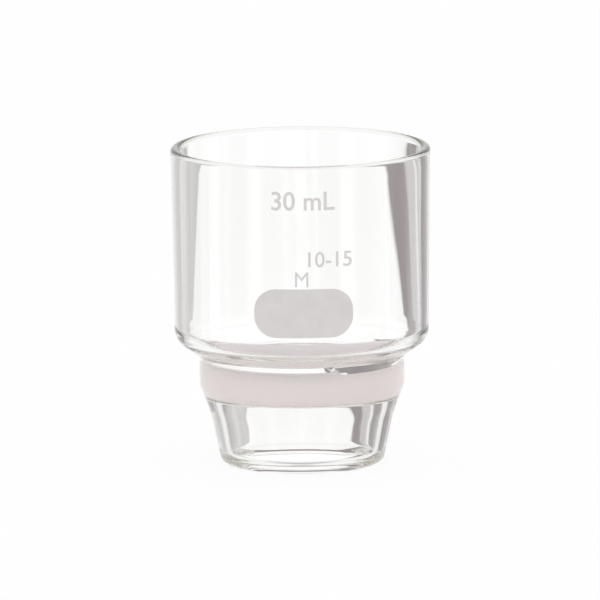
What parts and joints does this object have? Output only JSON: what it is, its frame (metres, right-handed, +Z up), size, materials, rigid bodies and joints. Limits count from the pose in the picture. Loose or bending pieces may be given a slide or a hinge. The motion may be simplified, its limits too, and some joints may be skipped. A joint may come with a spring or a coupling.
{
  "type": "gooch crucible",
  "caption": "Clear glass filtering crucible of low form: a straight bowl fused over a sintered filter disc, on a short tapered skirt, with a white marking spot.",
  "frame": {"origin": "centre of the foot ring, on the surface that the crucible stands on", "axes": "+Z up the axis of the glass, from the foot to the rim; the printed side with the marking spot faces -Y"},
  "size_m": [0.0434, 0.0434, 0.0531],
  "materials": {
    "clear_glass": "clear borosilicate glass, fire polished",
    "sintered_glass": "white porous sintered glass grains, matt",
    "white_enamel": "fired white enamel, satin"
  },
  "bodies": {
    "root": {"glass_body": "clear_glass", "frit_disc": "sintered_glass", "marking_spot": "white_enamel"}
  },
  "joints": []
}
